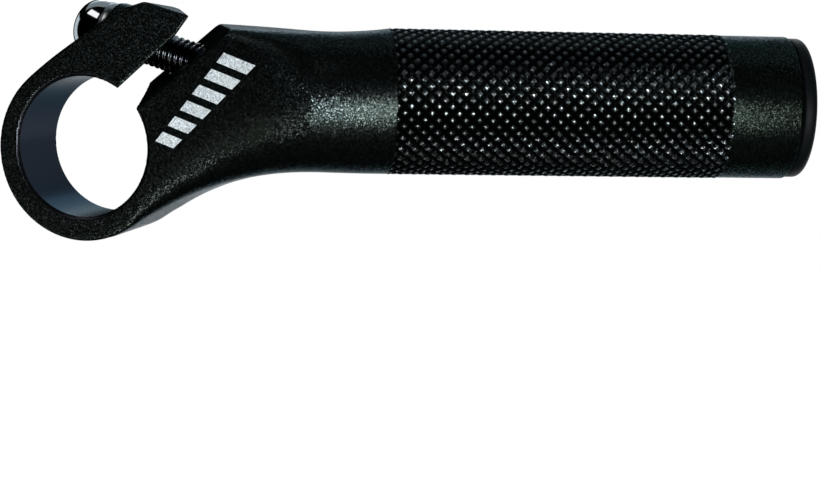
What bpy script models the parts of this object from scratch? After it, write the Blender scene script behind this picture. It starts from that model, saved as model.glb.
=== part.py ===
"""Clamp-on bicycle bar end: a forged body with a split clamp and a knurled handle,
a clamp bolt with its washer, and a plug in the handle's open end.

Frame: the origin is the centre of the clamp's bore. The handlebar runs along Y,
the handle leaves the clamp along +X and bends towards +Y, and +Z is the side of the bolt.
"""

import bpy
import bmesh
import math
from mathutils import Matrix, Vector

MM = 0.001

# Clamp ring
BAR_DIAMETER = 22.2 * MM
CLAMP_WALL = 3.41 * MM
CLAMP_WIDTH = 13.4 * MM
RING_DROP = 0.42 * MM
RING_DRAFT = 0.7 * MM
DRAFT_FADE = 7.0 * MM
BORE_CHAMFER = 0.4 * MM
RING_CHAMFER = 0.35 * MM

# Handle axis: its height over the bar, where it leaves the mid-plane, and its bend
HANDLE_RISE = 8.7 * MM
HANDLE_CORNER = 39.3 * MM
HANDLE_TILT = math.radians(27.6)
BEND_RADIUS = 34.0 * MM

# Handle surface
GRIP_DIAMETER = 22.5 * MM
KNURL_START = 8.8 * MM
KNURL_PITCH = 2.09 * MM
KNURL_ROWS = 25
KNURL_COUNT = 34
KNURL_DEPTH = 0.4 * MM
BAND_DIAMETER = 22.4 * MM
BAND_LENGTH = 11.0 * MM
HANDLE_BORE = 16.0 * MM
HANDLE_BORE_DEPTH = 56.0 * MM
END_CHAMFER = 0.3 * MM

# Neck between clamp and handle
WAIST_DIAMETER = 21.8 * MM
WAIST_DROP = 0.35 * MM
SHOULDER_RISE = 0.8 * MM
NECK_FILLET = 49.0 * MM
NECK_ROOT = 5.0 * MM
ROOT_INSET = 0.25 * MM
ROOT_SQUARENESS = 20.0

# Slot, milled nearly square to the handle; it widens outwards, most of all on the ear
SLOT_WIDTH = 4.1 * MM
SLOT_ANGLE = math.radians(40.4)
SLOT_LEAN = math.radians(31.0)
SLOT_OFFSET = 3.65 * MM
SLOT_TAPER = math.radians(1.0)
FLARE_START = 20.7 * MM
FLARE_ANGLE = math.radians(13.0)

# Free ear of the clamp
EAR_BACK_ANGLE = math.radians(34.8)
EAR_FOOT_ANGLE = math.radians(40.0)
EAR_TOP_ANGLE = math.radians(-14.5)
EAR_TOP_HEIGHT = 25.8 * MM
EAR_BREAK_TOP = 1.9 * MM
EAR_BREAK_BACK = 3.6 * MM
EAR_DRAFT = 1.3 * MM

# The most of the ear's back face that the break of its top corner may take
BREAK_SHARE = 0.6

# Clamp bolt: where its axis crosses the slot, and its direction
BOLT_DISTANCE = 17.6 * MM
BOLT_SLOPE = math.radians(-15.5)
BOLT_SHIFT = 7.5 * MM
SEAT_DISTANCE = 9.8 * MM
BOSS_DIAMETER = 10.4 * MM
THREAD_DIAMETER = 6.0 * MM
SHANK_DIAMETER = 5.5 * MM
SHANK_LENGTH = 22.0 * MM
HEAD_DIAMETER = 9.9 * MM
HEAD_HEIGHT = 5.3 * MM
HEAD_ROUNDNESS = 2.5
KEY_WIDTH = 4.0 * MM
KEY_DEPTH = 2.8 * MM
WASHER_DIAMETER = 10.2 * MM
WASHER_THICKNESS = 0.8 * MM
HOLE_CLEARANCE = 0.3 * MM
POCKET_CLEARANCE = 0.4 * MM
BLIND_MARGIN = 2.0 * MM

# End plug
PLUG_THICKNESS = 2.1 * MM
PLUG_EDGE = 1.1 * MM
PLUG_DOME = 0.35 * MM
STEM_LENGTH = 12.0 * MM
STEM_GROOVE = 0.7 * MM
STEM_RIBS = 3

# Gap between pieces that touch on the real part
SEAT_GAP = 0.3 * MM

ROUND_STEPS = 2 * KNURL_COUNT
RING_STEPS = 72
SMALL_STEPS = 40
RING_OPENING = math.radians(330)
OPENING_STEPS = 16

BAR_RADIUS = BAR_DIAMETER / 2
RING_RADIUS = BAR_RADIUS + CLAMP_WALL
HALF_WIDTH = CLAMP_WIDTH / 2
GRIP_RADIUS = GRIP_DIAMETER / 2
BAND_RADIUS = BAND_DIAMETER / 2
WAIST_RADIUS = WAIST_DIAMETER / 2
KNURL_END = KNURL_START + KNURL_ROWS * KNURL_PITCH
HANDLE_END = KNURL_END + BAND_LENGTH


# Scene and materials

def clear_scene():
    """Remove what the file holds before the part is made."""
    for thing in list(bpy.data.objects):
        bpy.data.objects.remove(thing, do_unlink=True)
    for store in (bpy.data.meshes, bpy.data.materials):
        for item in list(store):
            store.remove(item)


def material(name, colour, roughness, metallic):
    """A Principled material of one colour."""
    result = bpy.data.materials.new(name)
    result.use_nodes = True
    shader = result.node_tree.nodes["Principled BSDF"]
    shader.inputs["Base Color"].default_value = (*colour, 1.0)
    shader.inputs["Roughness"].default_value = roughness
    shader.inputs["Metallic"].default_value = metallic
    return result


def new_object(name, points, faces, finish=None):
    """A mesh object whose faces all point outwards."""
    mesh = bpy.data.meshes.new(name)
    mesh.from_pydata([tuple(p) for p in points], [], faces)
    shape = bmesh.new()
    shape.from_mesh(mesh)
    bmesh.ops.recalc_face_normals(shape, faces=shape.faces)
    shape.to_mesh(mesh)
    shape.free()
    result = bpy.data.objects.new(name, mesh)
    bpy.context.collection.objects.link(result)
    if finish is not None:
        mesh.materials.append(finish)
    return result


def as_helper(shape):
    """Mark a mesh that only cuts or joins another."""
    shape.hide_render = True
    shape.display_type = "WIRE"
    return shape


def combine(target, helper, operation):
    """Join a helper to the target, or cut it away."""
    step = target.modifiers.new(helper.name, "BOOLEAN")
    step.operation = operation
    step.solver = "EXACT"
    step.object = as_helper(helper)


def skin(rings, cap_ends=True):
    """Points and faces of a closed surface through rings of equal count."""
    count = len(rings[0])
    points = [p for ring in rings for p in ring]
    faces = []
    for i in range(len(rings) - 1):
        for j in range(count):
            k = (j + 1) % count
            faces.append((i * count + j, i * count + k, (i + 1) * count + k, (i + 1) * count + j))
    if cap_ends:
        faces.append(tuple(range(count)))
        last = (len(rings) - 1) * count
        faces.append(tuple(range(last, last + count)))
    return points, faces


def turned(name, profile, steps, finish=None, place=None):
    """A solid turned about its local Z from (radius, height) pairs; a radius of zero is a pole."""
    points = []
    rows = []
    for radius, height in profile:
        if radius == 0:
            rows.append([len(points)])
            points.append(Vector((0, 0, height)))
            continue
        rows.append(list(range(len(points), len(points) + steps)))
        for j in range(steps):
            turn = 2 * math.pi * j / steps
            points.append(Vector((radius * math.cos(turn), radius * math.sin(turn), height)))
    faces = []
    closed = profile[0][0] != 0
    pairs = list(zip(rows, rows[1:]))
    if closed:
        pairs.append((rows[-1], rows[0]))
    for low, high in pairs:
        for j in range(steps):
            k = (j + 1) % steps
            face = [low[j % len(low)], low[k % len(low)], high[k % len(high)], high[j % len(high)]]
            face = list(dict.fromkeys(face))
            if len(face) > 2:
                faces.append(tuple(face))
    if place is not None:
        points = [place @ p for p in points]
    return new_object(name, points, faces, finish)


# Geometry shared by the pieces

def slot_across():
    """Direction over the slot's width, in the XZ plane."""
    return Vector((-math.sin(SLOT_ANGLE), 0, math.cos(SLOT_ANGLE)))


def slot_point(along, across, depth):
    """A point in the slot's own directions: outwards, over its width, and along Y."""
    flat = Vector((math.cos(SLOT_ANGLE), 0, math.sin(SLOT_ANGLE)))
    lean = Vector((-math.tan(SLOT_LEAN), 1, 0))
    return flat * along + slot_across() * (SLOT_OFFSET + across) + lean * depth


def bolt_place():
    """Local frame of the bolt: the origin on the seat, +Z out through the head."""
    axis = Vector((math.cos(BOLT_SLOPE), 0, math.sin(BOLT_SLOPE)))
    upward = Vector((-axis.z, 0, axis.x))
    centre = upward * BOLT_DISTANCE + axis * (BOLT_SHIFT - SEAT_DISTANCE)
    turn = Matrix((upward, upward.cross(axis), -axis)).transposed().to_4x4()
    return Matrix.Translation(centre) @ turn


def handle_place(past_corner):
    """Local frame on the handle's axis, a distance past the corner, +Z along the handle."""
    along = Vector((math.cos(HANDLE_TILT), math.sin(HANDLE_TILT), 0))
    up = Vector((0, 0, 1))
    turn = Matrix((up, along.cross(up), along)).transposed().to_4x4()
    return Matrix.Translation(Vector((HANDLE_CORNER, 0, HANDLE_RISE)) + along * past_corner) @ turn


def path_frame(distance):
    """Centre and direction of the body's centreline at a distance from the bar's axis."""
    tangent = BEND_RADIUS * math.tan(HANDLE_TILT / 2)
    start = HANDLE_CORNER - tangent
    arc = BEND_RADIUS * HANDLE_TILT
    if distance <= start:
        return Vector((distance, 0, 0)), 0.0
    if distance < start + arc:
        turn = (distance - start) / BEND_RADIUS
        centre = Vector((start + BEND_RADIUS * math.sin(turn), BEND_RADIUS * (1 - math.cos(turn)), 0))
        return centre, turn
    past = distance - start - arc + tangent
    along = Vector((math.cos(HANDLE_TILT), math.sin(HANDLE_TILT), 0))
    return Vector((HANDLE_CORNER, 0, 0)) + along * past, HANDLE_TILT


def path_length(past_corner):
    """Distance along the centreline of a place on the handle, given from the corner."""
    tangent = BEND_RADIUS * math.tan(HANDLE_TILT / 2)
    return HANDLE_CORNER - tangent + BEND_RADIUS * HANDLE_TILT + past_corner - tangent


def blend(value, low, high, power=1.0):
    """Zero at low, one at high, rising with the given power."""
    share = min(max((value - low) / (high - low), 0.0), 1.0)
    return share ** power


def section(distance, half_width, top, bottom, upper, lower, draft):
    """One closed cross-section of the body, with a squareness for each half; 2 is an ellipse.

    The draft lifts the lower half towards +Y."""
    centre, turn = path_frame(distance)
    side = Vector((-math.sin(turn), math.cos(turn), 0))
    up = Vector((0, 0, 1))
    middle = (top + bottom) / 2
    ring = []
    for j in range(ROUND_STEPS):
        angle = 2 * math.pi * j / ROUND_STEPS
        power = 2 / (upper if angle < math.pi else lower)
        across = math.copysign(abs(math.cos(angle)) ** power, math.cos(angle))
        rise = math.copysign(abs(math.sin(angle)) ** power, math.sin(angle))
        lift = draft * (1 + across) / 2 * max(-rise, 0)
        ring.append(centre + side * (half_width * across) + up * (middle + (top - middle) * rise + lift))
    return ring


def neck_section(distance):
    """Cross-section of the neck: flat-sided at the clamp, round at the handle."""
    waist = HANDLE_RISE - WAIST_DROP
    floor = waist - WAIST_RADIUS
    reach = math.sqrt((NECK_FILLET + RING_RADIUS) ** 2 - (NECK_FILLET - floor - RING_DROP) ** 2)
    touch = reach * RING_RADIUS / (NECK_FILLET + RING_RADIUS)
    swell = blend(distance, reach, path_length(KNURL_START), 2)
    radius = WAIST_RADIUS + (GRIP_RADIUS - WAIST_RADIUS) * swell
    middle = waist + WAIST_DROP * swell
    share = blend(distance, NECK_ROOT, reach)
    top = middle + radius + SHOULDER_RISE * (1 - share) ** 1.3
    if distance < touch:
        bottom = -RING_DROP - math.sqrt((RING_RADIUS - ROOT_INSET) ** 2 - distance ** 2)
    elif distance < reach:
        bottom = floor - NECK_FILLET + math.sqrt(NECK_FILLET ** 2 - (distance - reach) ** 2)
    else:
        bottom = middle - radius
    root_half = HALF_WIDTH - ROOT_INSET
    half_width = root_half + (radius - root_half) * share ** 1.3
    squarest = 2 / ROOT_SQUARENESS
    upper = 2 / (squarest + (1 - squarest) * share ** 4.5)
    lower = 2 / max(share, squarest)
    draft = RING_DRAFT * (1 - blend(distance, NECK_ROOT, NECK_ROOT + DRAFT_FADE))
    return section(distance, half_width, top, bottom, upper, lower, draft)


# Body

def handle_ring(past_corner, radii):
    """A round ring on the handle whose points take the radii in turn."""
    centre, turn = path_frame(path_length(past_corner))
    side = Vector((-math.sin(turn), math.cos(turn), 0))
    up = Vector((0, 0, 1))
    ring = []
    for j in range(ROUND_STEPS):
        angle = 2 * math.pi * j / ROUND_STEPS
        radius = radii[j % len(radii)]
        ring.append(centre + up * HANDLE_RISE + (side * math.cos(angle) + up * math.sin(angle)) * radius)
    return ring


def body_core():
    """Neck and handle in one skin, with the raised diamonds of the knurl."""
    knurl = path_length(KNURL_START)
    stops = [NECK_ROOT, NECK_ROOT + 5 * MM]
    while stops[-1] < knurl - 3.5 * MM:
        stops.append(stops[-1] + 1.9 * MM)
    stops.append(knurl)
    rings = [neck_section(stop) for stop in stops]
    crest = GRIP_RADIUS + KNURL_DEPTH / 8
    root = crest - KNURL_DEPTH
    first = len(rings)
    half = KNURL_PITCH / 2
    rows = 2 * KNURL_ROWS
    for i in range(1, rows):
        pair = (crest, root) if i % 2 else (root, crest)
        rings.append(handle_ring(KNURL_START + i * half, pair))
    last = len(rings) - 1
    rings.append(handle_ring(KNURL_END, (BAND_RADIUS,)))
    rings.append(handle_ring(HANDLE_END - END_CHAMFER, (BAND_RADIUS,)))
    rings.append(handle_ring(HANDLE_END, (BAND_RADIUS - END_CHAMFER,)))
    points, faces = skin(rings)
    split = []
    for face in faces:
        if len(face) != 4 or not first <= face[0] // ROUND_STEPS < last:
            split.append(face)
            continue
        row = face[0] // ROUND_STEPS - first + 1
        column = face[0] % ROUND_STEPS
        a, b, c, d = face
        if (row + column) % 2:
            split += [(a, b, d), (b, c, d)]
        else:
            split += [(a, b, c), (a, c, d)]
    return points, split


def direction(angle):
    """Unit vector at an angle in the XZ plane, as its X and Z."""
    return Vector((math.cos(angle), math.sin(angle)))


def clamp_outline(depth):
    """Outline of ring and free ear at one depth along Y, closed inside the slot."""
    share = depth / HALF_WIDTH
    inset = RING_CHAMFER if abs(share) == 1 else 0
    radius = RING_RADIUS - inset - RING_DRAFT * (1 + share) / 2
    middle = Vector((0, -RING_DROP))
    quarter = math.pi / 2
    across = direction(SLOT_ANGLE + quarter)
    line = slot_point(0, -SLOT_WIDTH / 4, depth).dot(slot_across())
    start = quarter + EAR_FOOT_ANGLE
    end = 2 * math.pi + SLOT_ANGLE + math.asin((line - middle.dot(across)) / radius)
    outline = []
    for k in range(RING_STEPS):
        angle = start + (RING_OPENING - start) * k / RING_STEPS
        outline.append(middle + direction(angle) * radius)
    for k in range(OPENING_STEPS + 1):
        angle = RING_OPENING + (end - RING_OPENING) * k / OPENING_STEPS
        outline.append(middle + direction(angle) * radius)
    top_normal = direction(EAR_TOP_ANGLE + quarter)
    back_normal = direction(EAR_BACK_ANGLE + quarter)
    foot_normal = direction(start)
    height = EAR_TOP_HEIGHT * math.cos(EAR_TOP_ANGLE) - inset - EAR_DRAFT * (1 + share) / 2
    reach = RING_RADIUS - inset
    outline.append(crossing(across, line, top_normal, height))
    corner = crossing(back_normal, reach, top_normal, height)
    foot = crossing(back_normal, reach, foot_normal, radius + middle.dot(foot_normal))
    back_break = min(EAR_BREAK_BACK, (corner - foot).length * BREAK_SHARE)
    outline.append(corner + direction(EAR_TOP_ANGLE) * EAR_BREAK_TOP)
    outline.append(corner - direction(EAR_BACK_ANGLE) * back_break)
    outline.append(foot)
    return [Vector((p.x, depth, p.y)) for p in outline]


def crossing(first, first_reach, second, second_reach):
    """Where two lines cross, each given by its unit normal and its distance from the origin."""
    scale = first.x * second.y - first.y * second.x
    x = (first_reach * second.y - second_reach * first.y) / scale
    y = (first.x * second_reach - second.x * first_reach) / scale
    return Vector((x, y))


def slot_prism(name, corners, reach):
    """A cutter with the slot's lean, from (along, across) corners, to a depth both ways."""
    rings = [[slot_point(a, c, depth) for a, c in corners] for depth in (-reach, reach)]
    points, faces = skin(rings)
    return new_object(name, points, faces)


def make_body(finish):
    """The one-piece forging with its machined bore, slot, bolt hole and hollow handle."""
    points, faces = body_core()
    body = new_object("body", points, faces, finish)

    radius = HANDLE_BORE / 2
    profile = [(0, -HANDLE_BORE_DEPTH - radius / 2), (radius, -HANDLE_BORE_DEPTH), (radius, BAND_LENGTH)]
    profile += [(0, BAND_LENGTH)]
    place = handle_place(HANDLE_END)
    combine(body, turned("handle_bore", profile, SMALL_STEPS, place=place), "DIFFERENCE")

    far = 60 * MM
    cut = -SLOT_WIDTH / 8
    side = slot_prism("ear_side", [(-far, cut), (far, cut), (far, far), (-far, far)], far)
    combine(body, side, "DIFFERENCE")

    flat = HALF_WIDTH - RING_CHAMFER
    depths = [-HALF_WIDTH, -flat, -flat / 2, 0, flat / 2, flat, HALF_WIDTH]
    points, faces = skin([clamp_outline(depth) for depth in depths])
    combine(body, new_object("clamp", points, faces), "UNION")

    boss = [(0, -SEAT_DISTANCE / 2), (BOSS_DIAMETER / 2, -SEAT_DISTANCE / 2)]
    boss += [(BOSS_DIAMETER / 2, WASHER_THICKNESS), (0, WASHER_THICKNESS)]
    combine(body, turned("bolt_boss", boss, SMALL_STEPS, place=bolt_place()), "UNION")

    turn = Matrix.Rotation(-math.pi / 2, 4, "X")
    combine(body, turned("bar_bore", bore_profile(), RING_STEPS, place=turn), "DIFFERENCE")

    root = NECK_ROOT / 2
    end = FLARE_START + 15 * MM
    widths = [SLOT_WIDTH / 2 + math.tan(SLOT_TAPER) * along for along in (root, FLARE_START, end)]
    spread = (end - FLARE_START) * math.tan(FLARE_ANGLE - SLOT_TAPER)
    corners = [(root, -widths[0]), (end, -widths[2]), (end, widths[2] + spread)]
    corners += [(FLARE_START, widths[1]), (root, widths[0])]
    combine(body, slot_prism("slot", corners, HALF_WIDTH + WAIST_RADIUS), "DIFFERENCE")

    pocket = WASHER_DIAMETER / 2 + POCKET_CLEARANCE
    clear = THREAD_DIAMETER / 2 + HOLE_CLEARANCE
    tapped = SHANK_DIAMETER / 2 + HOLE_CLEARANCE
    deep = SHANK_LENGTH - SEAT_GAP * 2 - WASHER_THICKNESS + BLIND_MARGIN
    profile = [(0, 2 * RING_RADIUS), (pocket, 2 * RING_RADIUS), (pocket, 0), (clear, 0)]
    profile += [(clear, -SEAT_DISTANCE), (tapped, -SEAT_DISTANCE), (tapped, -deep), (0, -deep - tapped / 2)]
    combine(body, turned("bolt_hole", profile, SMALL_STEPS, place=bolt_place()), "DIFFERENCE")
    return body


def bore_profile():
    """Half-section of the bar bore with a chamfer at each face, open past both faces."""
    past = BAR_RADIUS
    wide = BAR_RADIUS + BORE_CHAMFER
    flat = HALF_WIDTH - BORE_CHAMFER
    return [
        (0, -HALF_WIDTH - past),
        (wide, -HALF_WIDTH - past),
        (wide, -HALF_WIDTH),
        (BAR_RADIUS, -flat),
        (BAR_RADIUS, flat),
        (wide, HALF_WIDTH),
        (wide, HALF_WIDTH + past),
        (0, HALF_WIDTH + past),
    ]


# Bolt, washer and plug

def make_bolt(finish, carrier):
    """Cap screw with a domed head, a hexagon socket and a plain shank."""
    base = SEAT_GAP + WASHER_THICKNESS + SEAT_GAP
    radius = HEAD_DIAMETER / 2
    shank = SHANK_DIAMETER / 2
    tip = base - SHANK_LENGTH
    profile = [(0, tip), (shank * 0.75, tip), (shank, tip + shank * 0.25), (shank, base)]
    steps = 10
    for k in range(steps + 1):
        share = k / steps
        height = math.sin(share * math.pi / 2) ** (2 / HEAD_ROUNDNESS)
        width = math.cos(share * math.pi / 2) ** (2 / HEAD_ROUNDNESS)
        if k == steps:
            width = 0
        profile.append((radius * width, base + HEAD_HEIGHT * height))
    bolt = turned("clamp_bolt", profile, SMALL_STEPS, finish)
    top = base + HEAD_HEIGHT
    corner = KEY_WIDTH / math.sqrt(3)
    key = [(0, top - KEY_DEPTH - corner / 2), (corner, top - KEY_DEPTH), (corner, top + KEY_DEPTH), (0, top + KEY_DEPTH)]
    socket = turned("key_socket", key, 6)
    combine(bolt, socket, "DIFFERENCE")
    bolt.parent = carrier
    socket.parent = carrier
    return bolt


def make_washer(finish, carrier):
    """Flat washer between the head and its seat."""
    outer = WASHER_DIAMETER / 2
    inner = THREAD_DIAMETER / 2 + HOLE_CLEARANCE / 2
    edge = WASHER_THICKNESS / 5
    low = SEAT_GAP
    high = SEAT_GAP + WASHER_THICKNESS
    profile = [(inner, low), (outer - edge, low), (outer, low + edge)]
    profile += [(outer, high - edge), (outer - edge, high), (inner, high)]
    washer = turned("washer", profile, SMALL_STEPS, finish)
    washer.parent = carrier
    return washer


def make_plug(finish, carrier):
    """Push-in plug: a rounded flange on the handle's end and a ribbed stem in its bore."""
    outer = BAND_RADIUS
    stem = HANDLE_BORE / 2 - SEAT_GAP
    groove = stem - STEM_GROOVE
    low = SEAT_GAP
    profile = [(0, low - STEM_LENGTH)]
    pitch = STEM_LENGTH / (2 * STEM_RIBS + 1)
    for k in range(STEM_RIBS):
        foot = low - STEM_LENGTH + 2 * k * pitch
        profile += [(groove, foot), (stem, foot + pitch), (groove, foot + pitch * 1.2)]
    profile += [(groove, low), (outer, low)]
    shoulder = low + PLUG_THICKNESS - PLUG_EDGE
    steps = 5
    for k in range(steps + 1):
        angle = math.pi / 2 * k / steps
        profile.append((outer - PLUG_EDGE * (1 - math.cos(angle)), shoulder + PLUG_EDGE * math.sin(angle)))
    profile.append((outer * 0.45, low + PLUG_THICKNESS + PLUG_DOME * 0.8))
    profile.append((0, low + PLUG_THICKNESS + PLUG_DOME))
    plug = turned("end_plug", profile, SMALL_STEPS, finish)
    plug.parent = carrier
    return plug


def empty(name, place):
    """An axis for the pieces that follow it."""
    result = bpy.data.objects.new(name, None)
    result.matrix_world = place
    result.empty_display_size = 0.01
    bpy.context.collection.objects.link(result)
    return result


def main():
    """Make every piece of the bar end."""
    clear_scene()
    black = material("body", (0.022, 0.023, 0.025), 0.42, 0.85)
    chrome = material("clamp_bolt", (0.72, 0.73, 0.75), 0.12, 1.0)
    steel = material("washer", (0.62, 0.63, 0.64), 0.25, 1.0)
    plastic = material("end_plug", (0.012, 0.014, 0.02), 0.45, 0.0)
    make_body(black)
    bolt_axis = empty("bolt_axis", bolt_place())
    make_bolt(chrome, bolt_axis)
    make_washer(steel, bolt_axis)
    handle_axis = empty("handle_axis", handle_place(HANDLE_END))
    make_plug(plastic, handle_axis)
    for shape in bpy.data.objects:
        if shape.type == "MESH":
            shape.data.shade_smooth()
            shape.data.set_sharp_from_angle(angle=math.radians(35))
    bpy.context.view_layer.update()


main()
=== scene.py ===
"""Looks of a forged bicycle bar end: bead-blasted black body, knurled grip, chrome bolt and plastic plug.

Lengths are millimetres in the part's own frame, and become metres where they are multiplied by MM.
"""

import math

import bpy
import numpy as np
from mathutils import Matrix, Vector


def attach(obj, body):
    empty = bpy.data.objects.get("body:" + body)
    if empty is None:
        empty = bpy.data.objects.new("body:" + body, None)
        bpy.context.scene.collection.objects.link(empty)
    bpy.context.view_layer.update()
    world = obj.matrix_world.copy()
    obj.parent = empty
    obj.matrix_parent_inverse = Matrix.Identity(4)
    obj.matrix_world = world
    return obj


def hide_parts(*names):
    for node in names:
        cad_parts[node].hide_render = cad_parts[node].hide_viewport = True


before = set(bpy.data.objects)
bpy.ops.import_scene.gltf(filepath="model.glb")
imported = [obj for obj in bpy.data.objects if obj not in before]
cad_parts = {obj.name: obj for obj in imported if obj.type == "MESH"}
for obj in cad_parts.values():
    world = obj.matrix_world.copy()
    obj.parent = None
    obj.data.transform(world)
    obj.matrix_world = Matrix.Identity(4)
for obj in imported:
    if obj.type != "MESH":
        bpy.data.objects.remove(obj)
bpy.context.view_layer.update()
MM = 0.001

# Clamp ring and its bore. The scale keeps the distance's slope near one over the bore's chamfer
BORE_RADIUS = 11.1
RING_RADIUS = 14.51
RING_DROP = 0.42
RING_DRAFT = 0.7
DRAFT_FADE = 7.0
HALF_WIDTH = 6.7
BORE_CHAMFER = 0.4
BORE_SCALE = 0.8

# Widths of the rounded edges: the clamp's sides, forged corners, milled cuts and drilled holes
EDGE = 0.45
FORGED_ROUNDING = 0.3
CUT_ROUNDING = 0.35
HOLE_ROUNDING = 0.15

# Handle axis
RISE = 8.7
CORNER = 39.3
TILT = math.radians(27.6)
BEND = 34.0

# Neck. The falls are the powers by which its shoulder, width and squareness change along it
WAIST = 10.9
WAIST_DROP = 0.35
SHOULDER_RISE = 0.8
GRIP = 11.25
FILLET = 49.0
ROOT = 5.0
ROOT_SQUARENESS = 20.0
ROOT_SINK = 3.0
ROOT_BLEND = 5.0
SHOULDER_FALL = 1.3
WIDTH_FALL = 1.7
SQUARE_FALL = 4.5

# Slot. It leans in Y, so the distance across it is divided by a scale
SLOT_HALF = 2.05
SLOT_ANGLE = math.radians(40.4)
SLOT_LEAN = math.tan(math.radians(31.0))
SLOT_OFFSET = 3.65
SLOT_TAPER = math.tan(math.radians(1.0))
SLOT_START = 3.0
SLOT_OVERLAP = 0.5
SLOT_SCALE = 1.06
FLARE_START = 20.7
FLARE = math.tan(math.radians(12.0))

# Ear
BACK_ANGLE = math.radians(34.8)
FOOT_ANGLE = math.radians(40.0)
TOP_ANGLE = math.radians(-14.5)
TOP_HEIGHT = 25.8
BREAK_TOP = 1.9
BREAK_BACK = 3.6
DRAFT = 1.3

# Bolt, with its seat measured along its axis
BOLT_ANGLE = math.radians(-15.5)
BOLT_DISTANCE = 17.6
BOLT_SHIFT = 7.5
SEAT_DISTANCE = 9.8
SEAT_ALONG = BOLT_SHIFT - SEAT_DISTANCE
SEAT_GAP = 0.3
POCKET = 5.5
BOSS = 5.2
BOSS_DEPTH = 6.0
CLEAR_HOLE = 3.3
TAPPED_HOLE = 3.05
HOLE_DEPTH = 22.6

# Knurl and grip, measured along the handle from the corner
KNURL_START = 8.8
KNURL_PITCH = 2.09
KNURL_ROWS = 25
KNURL_COUNT = 34
KNURL_DEPTH = 0.4
KNURL_RISE = 0.7
KNURL_STEPS = 10
KNURL_END = KNURL_START + KNURL_ROWS * KNURL_PITCH
HANDLE_END = KNURL_END + 11.0
BAND_RADIUS = 11.2
HANDLE_BORE = 8.0

# The smallest radius of a turned profile, and the steps round a turned piece
NEAR_AXIS = 0.01
ROUND = 128

# How metallic the black dyed anodising is: the metal shines through the dye
DYED_METALLIC = 0.95


def linear(code):
    """Turn an sRGB hex colour into linear red, green, blue and alpha."""
    parts = [int(code[i:i + 2], 16) / 255 for i in (1, 3, 5)]
    return [p / 12.92 if p <= 0.04045 else ((p + 0.055) / 1.055) ** 2.4 for p in parts] + [1.0]


# Meshes

def new_piece(name, points, quads, triangles=(), normals=None):
    """A mesh of millimetre points, with its faces turned so that its volume is positive."""
    points = np.asarray(points, float).reshape(-1, 3)
    quads = np.asarray(quads, int).reshape(-1, 4)
    triangles = np.asarray(triangles, int).reshape(-1, 3)
    thirds = np.concatenate([quads[:, :3], quads[:, [0, 2, 3]], triangles])
    a, b, c = (points[thirds[:, i]] for i in range(3))
    if np.einsum("ij,ij->i", a, np.cross(b, c)).sum() < 0:
        quads, triangles = quads[:, ::-1], triangles[:, ::-1]
    corners = np.concatenate([quads.ravel(), triangles.ravel()])
    sizes = np.concatenate([np.full(len(quads), 4), np.full(len(triangles), 3)])
    mesh = bpy.data.meshes.new(name)
    mesh.vertices.add(len(points))
    mesh.vertices.foreach_set("co", (points * MM).astype(np.float32).ravel())
    mesh.loops.add(len(corners))
    mesh.loops.foreach_set("vertex_index", corners.astype(np.int32))
    mesh.polygons.add(len(sizes))
    mesh.polygons.foreach_set("loop_start", np.concatenate([[0], np.cumsum(sizes)[:-1]]).astype(np.int32))
    mesh.update(calc_edges=True)
    mesh.validate()
    mesh.shade_smooth()
    if normals is not None:
        mesh.normals_split_custom_set_from_vertices(normals.tolist())
    piece = bpy.data.objects.new(name, mesh)
    bpy.context.scene.collection.objects.link(piece)
    return piece


def skin(name, rows):
    """A closed surface through rings of points, with one point closing each end.

    Ring i and point j give the vertex; neighbouring rings are joined by quads and each end by a fan."""
    count, around = rows.shape[:2]
    index = np.arange(count * around).reshape(count, around)
    after = np.roll(index, -1, axis=1)
    quads = np.stack([index[:-1], after[:-1], after[1:], index[1:]], axis=-1).reshape(-1, 4)
    first, last = count * around, count * around + 1
    low = np.stack([after[0], index[0], np.full(around, first)], axis=-1)
    high = np.stack([index[-1], after[-1], np.full(around, last)], axis=-1)
    points = np.concatenate([rows.reshape(-1, 3), rows[:1].mean(axis=1), rows[-1:].mean(axis=1)])
    return new_piece(name, points, quads, np.concatenate([low, high]))


def lathe(radius, height, angle, place):
    """Rings of points at (radius, height) about a local axis, carried to their place.

    x = radius cos(angle), y = radius sin(angle), z = height; radius may change with the angle too."""
    radius = np.asarray(radius, float)
    if radius.ndim == 1:
        radius = np.repeat(radius[:, None], len(angle), axis=1)
    height = np.asarray(height, float)
    if height.ndim == 1:
        height = np.repeat(height[:, None], len(angle), axis=1)
    local = np.stack([radius * np.cos(angle), radius * np.sin(angle), height], axis=-1)
    return local @ place[0].T + place[1]


def bolt_place():
    """Turn and origin of the bolt's local frame: the seat's centre, +Z out through the head."""
    axis = np.array([math.cos(BOLT_ANGLE), 0, math.sin(BOLT_ANGLE)])
    up = np.array([-axis[2], 0, axis[0]])
    return np.stack([up, np.cross(up, axis), -axis], axis=1), up * BOLT_DISTANCE + axis * SEAT_ALONG


def handle_place():
    """Turn and origin of the handle's local frame: the corner of its axis, +Z along the grip."""
    along = np.array([math.cos(TILT), math.sin(TILT), 0])
    up = np.array([0, 0, 1.0])
    return np.stack([up, np.cross(along, up), along], axis=1), np.array([CORNER, 0, RISE])


# Forged body, as a signed distance

def soft_min(a, b, width):
    """The lower of two distances, with a rounded valley of the given width."""
    h = np.clip(0.5 + 0.5 * (b - a) / width, 0, 1)
    return b + (a - b) * h - width * h * (1 - h)


def soft_max(a, b, width):
    """The higher of two distances, with a rounded edge of the given width."""
    return -soft_min(-a, -b, width)


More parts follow.
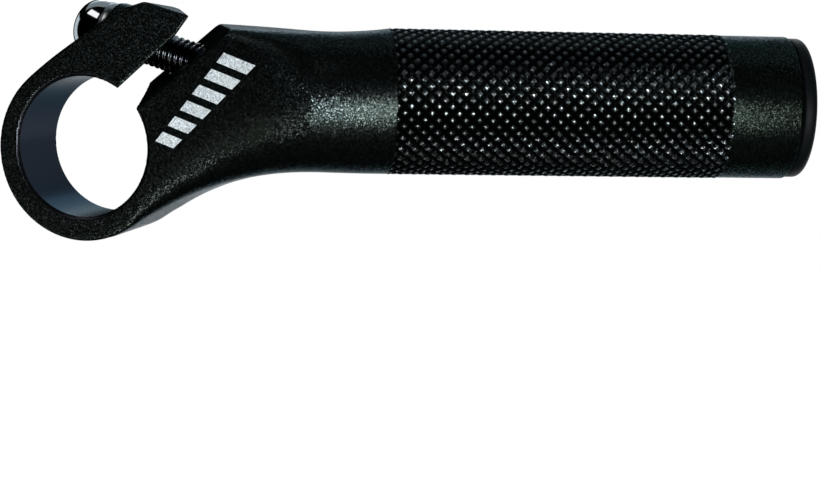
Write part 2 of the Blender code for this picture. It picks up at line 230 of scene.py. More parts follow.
def path_coordinates(x, y):
    """Distance along the body's centreline and sideways from it: straight, an arc, then straight again."""
    tangent = BEND * math.tan(TILT / 2)
    start = CORNER - tangent
    turn = np.arctan2(x - start, BEND - y)
    along, side = x, y
    in_arc = (turn > 0) & (y < BEND)
    along = np.where(in_arc, start + BEND * turn, along)
    side = np.where(in_arc, BEND - np.hypot(x - start, BEND - y), side)
    past = in_arc & (turn > TILT)
    c, s = math.cos(TILT), math.sin(TILT)
    along = np.where(past, start + BEND * TILT - tangent + (x - CORNER) * c + y * s, along)
    side = np.where(past, y * c - (x - CORNER) * s, side)
    return along, side


def path_length(past_corner):
    """Distance along the centreline of a place on the handle, given from the corner."""
    tangent = BEND * math.tan(TILT / 2)
    return CORNER - 2 * tangent + BEND * TILT + past_corner


def neck_distance(x, y, z):
    """Distance to the neck: a superellipse carried along the centreline.

    Its half-width, top, bottom and squareness change with the distance along, from flat-sided at the
    clamp to round at the waist, and its lower line is an arc tangent to the ring and to the waist."""
    along, side = path_coordinates(x, y)
    waist = RISE - WAIST_DROP
    floor = waist - WAIST
    reach = math.sqrt((FILLET + RING_RADIUS) ** 2 - (FILLET - floor - RING_DROP) ** 2)
    touch = reach * RING_RADIUS / (FILLET + RING_RADIUS)
    swell = np.clip((along - reach) / (path_length(KNURL_START) - reach), 0, 1) ** 2
    radius = WAIST + (GRIP - WAIST) * swell
    middle = waist + WAIST_DROP * swell
    share = np.clip((along - ROOT) / (reach - ROOT), 0, 1)
    top = middle + radius + SHOULDER_RISE * (1 - share) ** SHOULDER_FALL
    ring_line = -RING_DROP - np.sqrt(np.clip(RING_RADIUS ** 2 - along ** 2, 0, None))
    fillet_line = floor - FILLET + np.sqrt(np.clip(FILLET ** 2 - (along - reach) ** 2, 0, None))
    bottom = np.where(along < touch, ring_line, np.where(along < reach, fillet_line, middle - radius))
    draft = RING_DRAFT * np.clip(1 - (along - ROOT) / DRAFT_FADE, 0, 1)
    bottom = bottom + draft * np.clip(1 + side / HALF_WIDTH, 0, 2) / 2
    half_width = HALF_WIDTH + (radius - HALF_WIDTH) * share ** WIDTH_FALL
    squarest = 2 / ROOT_SQUARENESS
    upper = 2 / (squarest + (1 - squarest) * share ** SQUARE_FALL)
    lower = 2 / np.maximum(share, squarest)
    power = np.where(z > (top + bottom) / 2, upper, lower)
    half_height = (top - bottom) / 2
    across = np.abs(side) / half_width
    rise = np.abs(z - (top + bottom) / 2) / half_height
    tiny, least_slope = 1e-12, 0.03
    total = across ** power + rise ** power + tiny
    reach_out = total ** (1 / power)
    pull = total ** (1 / power - 1)
    slope = np.hypot(pull * across ** (power - 1) / half_width, pull * rise ** (power - 1) / half_height)
    shell = (reach_out - 1) / np.maximum(slope, least_slope)
    return np.maximum(shell, ROOT - along)


def ear_distance(x, y, z, across):
    """Distance to the free ear, bounded by straight lines: its foot, back, brow and top.

    The foot is tangent to the ring, the brow cuts off the corner of back and top, and the top falls
    away along Y with the forging's draft."""
    back = math.cos(BACK_ANGLE), math.sin(BACK_ANGLE)
    foot = math.cos(FOOT_ANGLE), math.sin(FOOT_ANGLE)
    top = math.cos(TOP_ANGLE), math.sin(TOP_ANGLE)
    height = TOP_HEIGHT * top[0] - DRAFT * (1 + y / HALF_WIDTH) / 2
    scale = -back[1] * top[0] + top[1] * back[0]
    peak_x = (RING_RADIUS * top[0] - height * back[0]) / scale + top[0] * BREAK_TOP
    peak_z = (-back[1] * height + top[1] * RING_RADIUS) / scale + top[1] * BREAK_TOP
    brow = [a * BREAK_TOP + b * BREAK_BACK for a, b in zip(top, back)]
    brow_length = math.hypot(*brow)
    from_back = -x * back[1] + z * back[0] - RING_RADIUS
    from_foot = -x * foot[1] + (z + RING_DROP) * foot[0] - RING_RADIUS
    from_top = -x * top[1] + z * top[0] - height
    from_brow = ((z - peak_z) * brow[0] - (x - peak_x) * brow[1]) / brow_length
    behind = soft_max(from_back, from_brow, FORGED_ROUNDING)
    ends = soft_max(from_foot, from_top, FORGED_ROUNDING)
    flat = soft_max(behind, ends, FORGED_ROUNDING)
    flat = np.maximum(flat, -(x * foot[0] + (z + RING_DROP) * foot[1]))
    return np.maximum(flat, -SLOT_OVERLAP - across)


def body_distance(x, y, z):
    """Signed distance to the forging: the ring, ear and neck joined, then the machined cuts."""
    leaned = x + SLOT_LEAN * y
    along_slot = leaned * math.cos(SLOT_ANGLE) + z * math.sin(SLOT_ANGLE)
    across = z * math.cos(SLOT_ANGLE) - leaned * math.sin(SLOT_ANGLE) - SLOT_OFFSET
    ring = np.hypot(x, z + RING_DROP) - RING_RADIUS + RING_DRAFT * (1 + y / HALF_WIDTH) / 2
    ear = ear_distance(x, y, z, across)
    clamp = soft_max(np.minimum(ring, ear), np.abs(y) - HALF_WIDTH, EDGE)
    neck = np.maximum(neck_distance(x, y, z), across - SLOT_OVERLAP)
    sink = ROOT_SINK * np.clip(1 - (x - ROOT) / ROOT_BLEND, 0, 1) ** 2
    on_neck = (x > ROOT) & (across < 0)
    clamp = np.where(on_neck, np.maximum(clamp, neck - sink), clamp)
    solid = soft_min(clamp, neck, FORGED_ROUNDING)

    turn, origin = bolt_place()
    px, py, pz = x - origin[0], y - origin[1], z - origin[2]
    out = px * turn[0, 2] + pz * turn[2, 2]
    from_axis = np.hypot(px * turn[0, 0] + pz * turn[2, 0], py)
    boss = soft_max(from_axis - BOSS, np.maximum(out, -BOSS_DEPTH - out), FORGED_ROUNDING)
    pocket = np.maximum(from_axis - POCKET, -out)
    clear = from_axis - CLEAR_HOLE
    tapped = from_axis - TAPPED_HOLE
    hole = np.where(out > -SEAT_DISTANCE, clear, np.maximum(tapped, -HOLE_DEPTH - out))
    solid = soft_max(solid, -pocket, CUT_ROUNDING)
    solid = np.minimum(solid, boss)

    flare = np.where(across > 0, FLARE * np.clip(along_slot - FLARE_START, 0, None), 0)
    half = SLOT_HALF + SLOT_TAPER * along_slot + flare
    slot = np.maximum((np.abs(across) - half) / SLOT_SCALE, SLOT_START - along_slot)
    solid = soft_max(solid, -slot, CUT_ROUNDING)
    solid = soft_max(solid, -hole, HOLE_ROUNDING)
    chamfer = np.clip(np.abs(y) - HALF_WIDTH + BORE_CHAMFER, 0, 2)
    bore = (np.hypot(x, z) - BORE_RADIUS - chamfer) * BORE_SCALE
    solid = np.maximum(solid, -bore)
    handle = (x - CORNER) * math.cos(TILT) + y * math.sin(TILT)
    return np.maximum(solid, handle - KNURL_START)


def forged_mesh(name, low, high, step):
    """Surface nets: one point in each grid cell that the surface crosses, one quad for each crossed edge.

    A cell's point is the mean of where the distance is zero on its edges, and is then moved onto the
    surface along the distance's gradient, which also gives the normal."""
    axes = [np.arange(a, b + step, step) for a, b in zip(low, high)]
    gx, gy, gz = np.meshgrid(*axes, indexing="ij", sparse=True)
    shape = tuple(len(a) for a in axes)
    field = np.empty(shape)
    slab = 16
    for i in range(0, shape[0], slab):
        field[i:i + slab] = body_distance(*np.broadcast_arrays(gx[i:i + slab], gy, gz))
    inside = field < 0
    cells = tuple(n - 1 for n in shape)
    total = np.zeros(cells + (3,))
    hits = np.zeros(cells)
    crossings = []
    for axis in range(3):
        ahead = [slice(None)] * 3
        ahead[axis] = slice(1, None)
        here = [slice(None)] * 3
        here[axis] = slice(0, -1)
        a, b = field[tuple(here)], field[tuple(ahead)]
        crossed = inside[tuple(here)] != inside[tuple(ahead)]
        share = np.where(crossed, a / np.where(crossed, a - b, 1), 0)
        crossings.append((crossed, inside[tuple(here)]))
        others = [o for o in range(3) if o != axis]
        for da in (0, 1):
            for db in (0, 1):
                pick = [slice(None)] * 3
                pick[others[0]] = slice(da, da + cells[others[0]])
                pick[others[1]] = slice(db, db + cells[others[1]])
                hit = crossed[tuple(pick)]
                hits += hit
                total[..., axis] += np.where(hit, share[tuple(pick)], 0)
                total[..., others[0]] += hit * da
                total[..., others[1]] += hit * db
    used = hits > 0
    number = np.full(cells, -1)
    number[used] = np.arange(used.sum())
    where = np.argwhere(used)
    points = (where + total[used] / hits[used][:, None]) * step + np.array([a[0] for a in axes])
    quads = []
    for axis in range(3):
        crossed, starts_inside = crossings[axis]
        first, second = [(1, 2), (2, 0), (0, 1)][axis]
        at = np.argwhere(crossed)
        keep = (at[:, first] > 0) & (at[:, second] > 0)
        keep &= (at[:, first] < cells[first]) & (at[:, second] < cells[second])
        at = at[keep]
        ring = []
        for da, db in ((1, 1), (0, 1), (0, 0), (1, 0)):
            cell = at.copy()
            cell[:, first] -= da
            cell[:, second] -= db
            ring.append(number[tuple(cell.T)])
        ring = np.stack(ring, axis=-1)
        flip = ~starts_inside[tuple(at.T)]
        ring[flip] = ring[flip][:, ::-1]
        quads.append(ring)
    passes, gap, normal_gap, least_size = 4, 0.02, 0.04, 0.3
    for _ in range(passes):
        gradient = distance_gradient(points, gap)
        size = np.maximum(np.linalg.norm(gradient, axis=1), least_size)
        value = body_distance(*points.T)
        move = np.clip(value / size ** 2, -step / 2, step / 2)
        points = points - gradient * move[:, None]
    gradient = distance_gradient(points, normal_gap)
    normals = gradient / np.maximum(np.linalg.norm(gradient, axis=1, keepdims=True), 1e-9)
    return new_piece(name, points, np.concatenate(quads), normals=normals)


def distance_gradient(points, gap):
    """Central differences of the body's distance at each point."""
    result = np.empty_like(points)
    for axis in range(3):
        offset = np.zeros(3)
        offset[axis] = gap
        ahead, behind = body_distance(*(points + offset).T), body_distance(*(points - offset).T)
        result[:, axis] = (ahead - behind) / (2 * gap)
    return result


# Turned and knurled pieces

def knurl_height(along, angle):
    """Diamond knurl: two families of grooves wound in opposite ways, with a plain flat on each diamond.

    Each family's height rises in a line from its nearest groove, the lower of the two counts, and it
    stops at one where the flat begins."""
    turns = angle * KNURL_COUNT / (2 * math.pi)
    rows = (along - KNURL_START) / KNURL_PITCH
    left = np.abs((rows + turns + 0.5) % 1.0 - 0.5) * 2
    right = np.abs((rows - turns + 0.5) % 1.0 - 0.5) * 2
    return np.clip(np.minimum(left, right) / KNURL_RISE, 0, 1)


def knurled_grip():
    """The knurled length of the handle, closed at both ends."""
    around = KNURL_COUNT * KNURL_STEPS
    angle = np.arange(around) * 2 * math.pi / around
    along = KNURL_START + np.arange(KNURL_ROWS * KNURL_STEPS + 1) * KNURL_PITCH / KNURL_STEPS
    crest = GRIP + KNURL_DEPTH / 8
    height = knurl_height(along[:, None], angle[None, :])
    radius = crest - KNURL_DEPTH * (1 - height)
    piece = skin("knurled_grip", lathe(radius, along, angle, handle_place()))
    piece.data.shade_flat()
    # The height is kept as an attribute: it also sets the painted shade in the grooves
    values = np.concatenate([height.ravel(), [0, 0]]).astype(np.float32)
    piece.data.attributes.new("knurl_height", "FLOAT", "POINT").data.foreach_set("value", values)
    return piece


def end_band():
    """The smooth band past the knurl and the hollow behind the plug, as one turned profile."""
    tuck, lip, corner, floor = 0.6, 0.3, 0.12, 0.5
    start = KNURL_END - tuck
    profile = [(NEAR_AXIS, start), (BAND_RADIUS - KNURL_DEPTH, start), (BAND_RADIUS, KNURL_END - corner)]
    profile += [(BAND_RADIUS, HANDLE_END - lip), (BAND_RADIUS - lip, HANDLE_END)]
    profile += [(HANDLE_BORE, HANDLE_END), (HANDLE_BORE, start + floor), (NEAR_AXIS, start + floor)]
    return turned_piece("end_band", profile, corner, ROUND, handle_place())


def turned_piece(name, profile, corner, steps, place):
    """A turned solid whose profile has each corner rounded, from (radius, height) pairs."""
    radius, height = rounded(np.array(profile, float), corner)
    angle = np.arange(steps) * 2 * math.pi / steps
    return skin(name, lathe(radius, height, angle, place))


def rounded(points, size, steps=5):
    """Cut each inner corner of a profile by a quadratic arc that starts size before it and ends size after."""
    before, at, after = points[:-2], points[1:-1], points[2:]
    back, ahead = before - at, after - at
    back_length = np.linalg.norm(back, axis=1, keepdims=True)
    ahead_length = np.linalg.norm(ahead, axis=1, keepdims=True)
    start = at + back / back_length * np.minimum(size, back_length * 0.45)
    end = at + ahead / ahead_length * np.minimum(size, ahead_length * 0.45)
    t = np.linspace(0, 1, steps)[None, :, None]
    arc = start[:, None] * (1 - t) ** 2 + at[:, None] * 2 * t * (1 - t) + end[:, None] * t ** 2
    line = np.concatenate([points[:1], arc.reshape(-1, 2), points[-1:]])
    return line[:, 0], line[:, 1]


def plug_piece():
    """The plug: a flange with a rounded edge and a slightly domed face, and its stem in the bore."""
    low = HANDLE_END + SEAT_GAP
    edge, thick, dome, outer = 0.9, 2.1, 0.35, 10.95
    stem_radius, stem_length = 7.6, 8.0
    turn = np.linspace(0, math.pi / 2, 12)
    rim = np.stack([outer - edge * (1 - np.cos(turn)), low + thick - edge + edge * np.sin(turn)], axis=-1)
    share = np.linspace(1, 0.002, 14)[1:]
    face = np.stack([(outer - edge) * share, low + thick + dome * (1 - share ** 2)], axis=-1)
    stem = [(NEAR_AXIS, low - stem_length), (stem_radius, low - stem_length), (stem_radius, low)]
    stem += [(outer - 0.25, low), (outer, low + 0.2)]
    line = np.concatenate([stem, rim, face])
    angle = np.arange(ROUND) * 2 * math.pi / ROUND
    return skin("plug_moulding", lathe(line[:, 0], line[:, 1], angle, handle_place()))


def bolt_head():
    """Domed head with a hexagon socket: a superellipse profile, then a hexagon let into its top.

    The socket's radius at each angle is the hexagon's apothem over the cosine to its nearest flat."""
    base, tall, wide, edge = 1.4, 5.3, 4.95, 0.2
    roundness, key_half, rim, steps = 2.5, 2.0, 2.62, 120
    angle = np.arange(steps) * 2 * math.pi / steps
    sweep = np.linspace(0, 1, 40) * math.pi / 2
    height = base + np.sin(sweep) ** (2 / roundness) * tall
    width = np.cos(sweep) ** (2 / roundness) * wide
    dome = (width > rim) & (sweep > 0)
    radius = np.concatenate([[NEAR_AXIS, wide - edge, wide], width[dome]])
    level = np.concatenate([[base, base, min(base + edge, height[dome][0])], height[dome]])
    flat = (angle + math.pi / 6) % (math.pi / 3) - math.pi / 6
    hexagon = key_half / np.cos(flat)
    top = level[-1]
    # The socket, from a broken edge down its walls to a drilled point
    sink = [(hexagon * 1.03 + 0.08, top - 0.02), (hexagon, top - 0.2), (hexagon, top - 2.6)]
    sink += [(hexagon * 0.9, top - 2.8), (0 * angle + NEAR_AXIS, top - 3.6)]
    radius = np.concatenate([np.repeat(radius[:, None], steps, axis=1), [r for r, _ in sink]])
    level = np.concatenate([level, [z for _, z in sink]])
    return skin("bolt_head", lathe(radius, level, angle, bolt_place()))


def bolt_thread():
    """M6 thread of 1 mm pitch: radius = core + depth x ridge x fade.

    The phase is the fraction of height - angle / turn, the ridge is 2.6 |phase - 0.5| - 0.2 held between
    0 and 1, and the fade lets it grow from nothing over the tip's first 0.8 mm."""
    base, tip, core, depth, steps, levels = 1.3, -20.6, 2.42, 0.55, 60, 340
    angle = np.arange(steps) * 2 * math.pi / steps
    height = np.linspace(tip, base, levels)
    phase = (height[:, None] - angle[None, :] / (2 * math.pi)) % 1.0
    ridge = np.clip(np.abs(phase - 0.5) * 2.6 - 0.2, 0, 1)
    fade = np.clip((height - tip) / 0.8, 0, 1)[:, None]
    radius = core + depth * ridge * fade
    ends = np.full((1, steps), NEAR_AXIS)
    radius = np.concatenate([ends, radius, ends])
    height = np.concatenate([[tip], height, [base]])
    return skin("bolt_thread", lathe(radius, height, angle, bolt_place()))


def washer_piece():
    """Flat washer with broken edges: its profile runs round the ring's section and back to its start."""
    inner, outer, low, high, edge, steps = 3.1, 5.1, SEAT_GAP, SEAT_GAP + 0.8, 0.15, 96
    profile = [(inner, low), (outer, low), (outer, high), (inner, high), (inner, low)]
    return turned_piece("flat_washer", profile, edge, steps, bolt_place())


# Materials

def add_node(tree, kind, settings=None, links=None):
    """Add a node, set its properties and sockets, and link its inputs from (node, output) pairs."""
    node = tree.nodes.new(kind)
    for key, value in (settings or {}).items():
        if isinstance(key, str) and hasattr(node, key):
            setattr(node, key, value)
        else:
            node.inputs[key].default_value = value
    for key, (source, output) in (links or {}).items():
        tree.links.new(source.outputs[output], node.inputs[key])
    return node


def new_material(name):
    """An empty node material with its output."""
    material = bpy.data.materials.new(name)
    material.use_nodes = True
    tree = material.node_tree
    tree.nodes.clear()
    return material, tree, tree.nodes.new("ShaderNodeOutputMaterial")


def facets(tree, place, grain_size, tilt):
    """Tilt the surface at random, flat by flat: its normal plus tilt times a random vector for each cell."""
    cells = add_node(tree, "ShaderNodeTexVoronoi", {"Scale": 1 / (grain_size * MM)}, {"Vector": (place, "Object")})
    centred = add_node(tree, "ShaderNodeVectorMath", {"operation": "SUBTRACT", 1: (0.5, 0.5, 0.5)},
                       {0: (cells, "Color")})
    surface = add_node(tree, "ShaderNodeNewGeometry")
    turned = add_node(tree, "ShaderNodeVectorMath", {"operation": "MULTIPLY_ADD", 1: (tilt, tilt, tilt)},
                      {0: (centred, "Vector"), 2: (surface, "Normal")})
    return cells, add_node(tree, "ShaderNodeVectorMath", {"operation": "NORMALIZE"}, {0: (turned, "Vector")})


def anodised(name, dark, light, grain_size, tilt, roughness, extra=None):
    """Blasted or cut aluminium, anodised and dyed black: near black, with a bright grain in its highlights.

    The work leaves flats of about grain_size millimetres, each tilted its own way, so a lamp shows in
    some and not in others, and some take less dye. The metal shines through the dye, so it is mostly
    metallic and very dark, and its edges stay dark too. extra changes the look in some places."""
    material, tree, output = new_material(name)
    place = add_node(tree, "ShaderNodeTexCoord")
    cells, normal = facets(tree, place, grain_size, tilt)
    parts = add_node(tree, "ShaderNodeSeparateColor", links={"Color": (cells, "Color")})
    dye = add_node(tree, "ShaderNodeMapRange", {"From Min": 0.6, "From Max": 1.0}, {"Value": (parts, "Red")})
    colour = add_node(tree, "ShaderNodeMix", {"data_type": "RGBA", 6: linear(dark), 7: linear(light)},
                      {0: (dye, "Result")})
    shader = add_node(tree, "ShaderNodeBsdfPrincipled",
                      {"Roughness": roughness, "Metallic": DYED_METALLIC, "Specular Tint": linear("#9ca3a6")},
                      {"Base Color": (colour, 2), "Normal": (normal, "Vector")})
    if extra:
        extra(tree, place, parts, colour, normal, shader)
    tree.links.new(shader.outputs[0], output.inputs["Surface"])
    return material


def machined_bore(tree, place, parts, colour, normal, shader):
    """The bore, smooth and a shade lighter, and the print on the neck.

    A point is bored where its distance from the clamp's axis is under bored_to, fading out by rough_from.
    The silver bars printed on the near side lie over the rest: matt, with the blast's grain in them."""
    bored_to, rough_from = 11.55 * MM, 11.62 * MM
    print_metallic, print_roughness = 0.1, 0.5
    roughness = shader.inputs["Roughness"].default_value
    flat = add_node(tree, "ShaderNodeVectorMath", {"operation": "MULTIPLY", 1: (1, 0, 1)}, {0: (place, "Object")})
    radius = add_node(tree, "ShaderNodeVectorMath", {"operation": "LENGTH"}, {0: (flat, "Vector")})
    bored = add_node(tree, "ShaderNodeMapRange", {"From Min": rough_from, "From Max": bored_to},
                     {"Value": (radius, "Value")})
    surface = add_node(tree, "ShaderNodeNewGeometry")
    smooth = add_node(tree, "ShaderNodeMix", {"data_type": "VECTOR"},
                      {0: (bored, "Result"), 4: (normal, "Vector"), 5: (surface, "Normal")})
    dyed = add_node(tree, "ShaderNodeMix", {"data_type": "RGBA", 7: linear("#38393f")},
                    {0: (bored, "Result"), 6: (colour, 2)})
    bars = slanted_bars(tree, place)
    silver = add_node(tree, "ShaderNodeMix", {"data_type": "RGBA", 6: linear("#84888c"), 7: linear("#eaeef0")},
                      {0: (parts, "Green")})
    printed = add_node(tree, "ShaderNodeMix", {"data_type": "RGBA"},
                       {0: (bars, "Value"), 6: (dyed, 2), 7: (silver, 2)})
    metal = add_node(tree, "ShaderNodeMapRange", {"To Min": DYED_METALLIC, "To Max": print_metallic},
                     {"Value": (bars, "Value")})
    matt = add_node(tree, "ShaderNodeMapRange", {"To Min": roughness, "To Max": print_roughness},
                    {"Value": (bars, "Value")})
    tree.links.new(smooth.outputs[1], shader.inputs["Normal"])
    tree.links.new(printed.outputs[2], shader.inputs["Base Color"])
    tree.links.new(metal.outputs["Result"], shader.inputs["Metallic"])
    tree.links.new(matt.outputs["Result"], shader.inputs["Roughness"])


def slanted_bars(tree, place):
    """A plain printed motif: slanted bars in a row along the neck that get shorter to one end.

    u runs along the row and v across it, and s = u + lean v. A bar is where s / pitch has a fraction under
    inked, |s| < half_row, |v| - narrowing u < half_width, and the surface is on the near side."""
    centre, slope = (21.4 * MM, 0, 8.5 * MM), math.radians(-46.6)
    pitch, inked, lean, narrowing = 3.4 * MM, 0.6, 0.5, 0.06
    half_row, half_width, near_side = 10.2 * MM, 2.1 * MM, -5 * MM
    local = add_node(tree, "ShaderNodeMapping",
                     {"vector_type": "TEXTURE", "Location": centre, "Rotation": (0, slope, 0)},
                     {"Vector": (place, "Object")})
    axes = add_node(tree, "ShaderNodeSeparateXYZ", links={"Vector": (local, "Vector")})
    maths = "ShaderNodeMath"
    slant = add_node(tree, maths, {"operation": "MULTIPLY_ADD", 1: lean}, {0: (axes, "Z"), 2: (axes, "X")})
    turns = add_node(tree, maths, {"operation": "MULTIPLY", 1: 1 / pitch}, {0: (slant, "Value")})
    share = add_node(tree, maths, {"operation": "FRACT"}, {0: (turns, "Value")})
    bar = add_node(tree, maths, {"operation": "LESS_THAN", 1: inked}, {0: (share, "Value")})
    along = add_node(tree, maths, {"operation": "ABSOLUTE"}, {0: (slant, "Value")})
    in_row = add_node(tree, maths, {"operation": "LESS_THAN", 1: half_row}, {0: (along, "Value")})
    across = add_node(tree, maths, {"operation": "ABSOLUTE"}, {0: (axes, "Z")})
    taper = add_node(tree, maths, {"operation": "MULTIPLY_ADD", 1: -narrowing},
                     {0: (axes, "X"), 2: (across, "Value")})
    in_width = add_node(tree, maths, {"operation": "LESS_THAN", 1: half_width}, {0: (taper, "Value")})
    near = add_node(tree, maths, {"operation": "LESS_THAN", 1: near_side}, {0: (axes, "Y")})
    both = add_node(tree, maths, {"operation": "MULTIPLY"}, {0: (bar, "Value"), 1: (in_row, "Value")})
    inside = add_node(tree, maths, {"operation": "MULTIPLY"}, {0: (both, "Value"), 1: (in_width, "Value")})
    return add_node(tree, maths, {"operation": "MULTIPLY"}, {0: (inside, "Value"), 1: (near, "Value")})


def painted_groove_shade(tree, place, parts, colour, normal, shader):
    """Painted shade in the knurl's grooves: the colour rises from black as height to the power."""
    power = 5.0
    height = add_node(tree, "ShaderNodeAttribute", {"attribute_name": "knurl_height"})
    share = add_node(tree, "ShaderNodeMath", {"operation": "POWER", 1: power}, {0: (height, "Fac")})
    # Painted shade: the grooves' near-black colour, mixed in towards the groove bottoms by height
    shade = add_node(tree, "ShaderNodeMix", {"data_type": "RGBA", 6: linear("#131617")},
                     {0: (share, "Value"), 7: (colour, 2)})
    tree.links.new(shade.outputs[2], shader.inputs["Base Color"])


def patchy(name, dark, light, settings, fineness, waviness, wave_height):
    """A finish whose colour and surface vary with one soft noise, of fineness patches to the millimetre."""
    material, tree, output = new_material(name)
    place = add_node(tree, "ShaderNodeTexCoord")
    noise = add_node(tree, "ShaderNodeTexNoise", {"Scale": fineness / MM}, {"Vector": (place, "Object")})
    bump = add_node(tree, "ShaderNodeBump", {"Strength": waviness, "Distance": wave_height * MM},
                    {"Height": (noise, "Fac")})
    shade = add_node(tree, "ShaderNodeMix", {"data_type": "RGBA", 6: linear(dark), 7: linear(light)},
                     {0: (noise, "Fac")})
    shader = add_node(tree, "ShaderNodeBsdfPrincipled", settings,
                      {"Base Color": (shade, 2), "Normal": (bump, "Normal")})
    tree.links.new(shader.outputs[0], output.inputs["Surface"])
    return material


def plain_metal(name, dark, light, roughness):
    """A bare or plated metal: a bright, tight reflection, faintly wavy, with slightly duller patches."""
    settings = {"Metallic": 1.0, "Roughness": roughness}
    return patchy(name, dark, light, settings, fineness=0.9, waviness=0.15, wave_height=0.02)


def moulded_plastic(name):
    """Moulded polyamide with a fine satin texture, so its reflections are faint and broad."""
    settings = {"Roughness": 0.5, "Specular IOR Level": 0.1}
    return patchy(name, "#06080a", "#0b0f11", settings, fineness=2.5, waviness=0.2, wave_height=0.03)


# Pieces

# The forging: soft black with a fine bright grain where a lamp shows. Grit leaves pits of under 0.1 mm,
# too fine to show, so the grain is drawn at 0.15 mm, which is about a pixel of the photograph
forged = anodised("blasted black anodising", "#222726", "#4f5756",
                  grain_size=0.15, tilt=0.29, roughness=0.26, extra=machined_bore)
# The end band: the same black and the same grain, tilted more, so its highlight is broader
turned = anodised("black anodising on turned band", "#212825", "#4b5855",
                  grain_size=0.15, tilt=0.34, roughness=0.26)
# The knurl: pale flats on the diamonds over grooves darkened with painted shade, with the flats' shine broken up by
# the grain
cut_knurl = anodised("black anodising on cut knurl", "#6c7274", "#b4babc",
                     grain_size=0.2, tilt=0.26, roughness=0.22, extra=painted_groove_shade)
# The bolt's head mirrors the lamps, its washer is duller, its thread is oiled black
chrome = plain_metal("chrome plate", "#ced0d2", "#e2e4e6", roughness=0.08)
zinc = plain_metal("bright zinc plate", "#b4b6b8", "#d2d4d6", roughness=0.25)
black_steel = plain_metal("black oxide steel", "#4a4e52", "#666a6e", roughness=0.16)
# The plug: the darkest piece, with no bright edge
plastic = moulded_plastic("moulded black polyamide")

forging = forged_mesh("forged_body", low=(-15.3, -11.6, -15.3), high=(53.2, 15.4, 26.4), step=0.3)
pieces = [
    (forging, "bar_end", "body", forged),
    (knurled_grip(), "bar_end", "body", cut_knurl),
    (end_band(), "bar_end", "body", turned),
    (plug_piece(), "bar_end", "end_plug", plastic),
    (bolt_head(), "bolt", "clamp_bolt", chrome),
    (bolt_thread(), "bolt", "clamp_bolt", black_steel),
    (washer_piece(), "washer", "washer", zinc),
]
for piece, body, node, finish in pieces:
    piece.data.materials.append(finish)
    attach(piece, body)
    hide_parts(node)


# Camera

def photograph_camera():
    """The camera of the photograph: a long lens from the right, a little above the part.

    Its place, lens and turn were fitted to the edges of the bore, the clamp and the handle."""
    data = bpy.data.cameras.new("camera")
    data.sensor_width = 36.0
    data.lens = 109.92
    data.clip_start = 0.01
    camera = bpy.data.objects.new("camera", data)
    bpy.context.scene.collection.objects.link(camera)
    forward = Vector((-0.3217, 0.9391, -0.1204)).normalized()
    right = Vector((0.9447, 0.3269, 0.0254))
    right = (right - forward * right.dot(forward)).normalized()
    up = right.cross(forward)
    turn = Matrix((right, up, -forward)).transposed().to_4x4()
    place = Vector((176.47, -361.31, 32.38)) * MM
    camera.matrix_world = Matrix.Translation(place) @ turn
    bpy.context.scene.camera = camera


def aim(thing, place, target):
    """Put a lamp at a place, with its face to the target."""
    place, target = Vector(place) * MM, Vector(target) * MM
    thing.matrix_world = Matrix.Translation(place) @ (target - place).to_track_quat("-Z", "Y").to_matrix().to_4x4()


def area_lamp(name, place, target, width, height, power, colour):
    """A soft rectangular lamp; sizes in millimetres."""
    data = bpy.data.lights.new(name, "AREA")
    data.shape = "RECTANGLE"
    data.size, data.size_y = width * MM, height * MM
    data.energy = power
    data.color = linear(colour)[:3]
    lamp = bpy.data.objects.new(name, data)
    bpy.context.scene.collection.objects.link(lamp)
    aim(lamp, place, target)


def white_surroundings():
    """A world that is white to the camera, cool in reflections, and half as bright where it lights."""
    world = bpy.data.worlds.new("surroundings")
    world.use_nodes = True
    tree = world.node_tree
    tree.nodes.clear()
    rays = add_node(tree, "ShaderNodeLightPath")
    clear = add_node(tree, "ShaderNodeMath", {"operation": "MAXIMUM"},
                     {0: (rays, "Is Camera Ray"), 1: (rays, "Is Transmission Ray")})
    shown = add_node(tree, "ShaderNodeMath", {"operation": "MAXIMUM"},
                     {0: (clear, "Value"), 1: (rays, "Is Glossy Ray")})
    level = add_node(tree, "ShaderNodeMapRange", {"To Min": 0.5, "To Max": 1.0}, {"Value": (shown, "Value")})
    tint = add_node(tree, "ShaderNodeMix", {"data_type": "RGBA", 6: linear("#cadae4"), 7: linear("#ffffff")},
                    {0: (clear, "Value")})
    back = add_node(tree, "ShaderNodeBackground", links={"Color": (tint, 2), "Strength": (level, "Result")})
    add_node(tree, "ShaderNodeOutputWorld", links={"Surface": (back, "Background")})
    bpy.context.scene.world = world


def flat_card(name, corners, faces):
    """A mesh of flat faces between corners in millimetres, linked to the scene."""
    mesh = bpy.data.meshes.new(name)
    mesh.from_pydata([tuple(c * MM for c in p) for p in corners], [], faces)
    card = bpy.data.objects.new(name, mesh)
    bpy.context.scene.collection.objects.link(card)
    return card


def pale_floor():
    """A white floor well below the part, which still takes its shadow."""
    size, height = 3000, -450
    points = [(-size, -size, height), (size, -size, height), (size, size, height), (-size, size, height)]
    floor = flat_card("floor", points, [(0, 1, 2, 3)])
    material, tree, output = new_material("white paper")
    rays = add_node(tree, "ShaderNodeLightPath")
    seen = add_node(tree, "ShaderNodeMath", {"operation": "MAXIMUM"},
                    {0: (rays, "Is Camera Ray"), 1: (rays, "Is Transmission Ray")})
    shown = add_node(tree, "ShaderNodeMath", {"operation": "MAXIMUM"},
                     {0: (seen, "Value"), 1: (rays, "Is Glossy Ray")})
    lift = add_node(tree, "ShaderNodeMath", {"operation": "MULTIPLY", 1: 0.85}, {0: (shown, "Value")})
    shader = add_node(tree, "ShaderNodeBsdfPrincipled",
                      {"Base Color": (0.9, 0.9, 0.9, 1), "Roughness": 0.9, "Emission Color": (1, 1, 1, 1)},
                      {"Emission Strength": (lift, "Value")})
    tree.links.new(shader.outputs[0], output.inputs["Surface"])
    floor.data.materials.append(material)


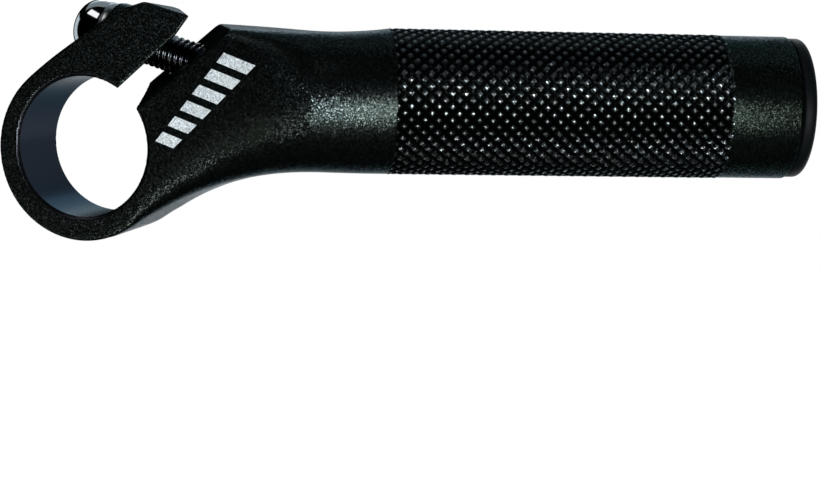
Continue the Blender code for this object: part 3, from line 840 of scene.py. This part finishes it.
def black_tent(left, right, front, low, high, back_left, back_right, back_top, back_floor):
    """Black flags round the part, open behind it, that only show in reflections.

    The two side walls, the roof and the floor each end where their last corners say, so the bright
    surroundings reach the part from behind and give its rims and its bore their cool light."""
    corners = [(left, front, low), (right, front, low), (right, front, high), (left, front, high)]
    corners += [(left, back_left, low), (left, back_left, high), (right, back_right, low), (right, back_right, high)]
    corners += [(left, back_top, high), (right, back_top, high), (left, back_floor, low), (right, back_floor, low)]
    walls = [(0, 1, 2, 3), (0, 4, 5, 3), (1, 6, 7, 2), (3, 8, 9, 2), (0, 10, 11, 1)]
    reflected_card("black_tent", corners, walls, 0.0)


def reflected_card(name, corners, faces, strength):
    """Cards in millimetres that only show in reflections, glowing at the given strength."""
    card = flat_card(name, corners, faces)
    card.visible_camera = False
    card.visible_diffuse = False
    card.visible_shadow = False
    material, tree, output = new_material(name)
    shader = add_node(tree, "ShaderNodeEmission", {"Color": linear("#dcecf4"), "Strength": strength})
    tree.links.new(shader.outputs[0], output.inputs["Surface"])
    card.data.materials.append(material)


photograph_camera()
white_surroundings()
pale_floor()
middle = (45, 0, 5)
# Two large soft lamps make the bright band along the handle, and two small ones lead it down the neck
area_lamp("key_left", (249, -817, -125), middle, 300, 230, 3.6, "#f0f6ff")
area_lamp("key_right", (498, -697, -172), middle, 280, 230, 3.2, "#f4f6ea")
area_lamp("mid_left", (15, -530, -280), (35, -8, 5), 200, 90, 0.38, "#f4f6ea")
area_lamp("low_left", (-322, -367, -241), (25, -8, 2), 200, 90, 0.13, "#f4f2dc")
# From behind and above: the cool rims along the top edges and the light in the bore
area_lamp("back_soft", (-210, 774, 380), middle, 420, 320, 1.1, "#ffffff")
area_lamp("top_box", (-380, -340, 760), (5, 0, 20), 560, 260, 0.6, "#ffffff")
black_tent(left=-1100, right=1500, front=-1300, low=-447, high=1000,
           back_left=1900, back_right=1300, back_top=120, back_floor=380)
# In reflections: a dim roof over the head, a pale card for the bore, a black one behind the lower rim
roof = [(-1100, 120, 1000), (1500, 120, 1000), (1500, 820, 1000), (-1100, 820, 1000)]
reflected_card("dim_roof", roof, [(0, 1, 2, 3)], 0.3)
side = [(-1000, -20, -400), (-1000, 600, -400), (-1000, 600, 400), (-1000, -20, 400)]
reflected_card("pale_side", side, [(0, 1, 2, 3)], 0.8)
behind = [(-100, 990, -100), (-720, 690, -100), (-720, 690, 200), (-100, 990, 200)]
reflected_card("black_back", behind, [(0, 1, 2, 3)], 0.0)

bpy.context.scene.view_settings.view_transform = "Standard"
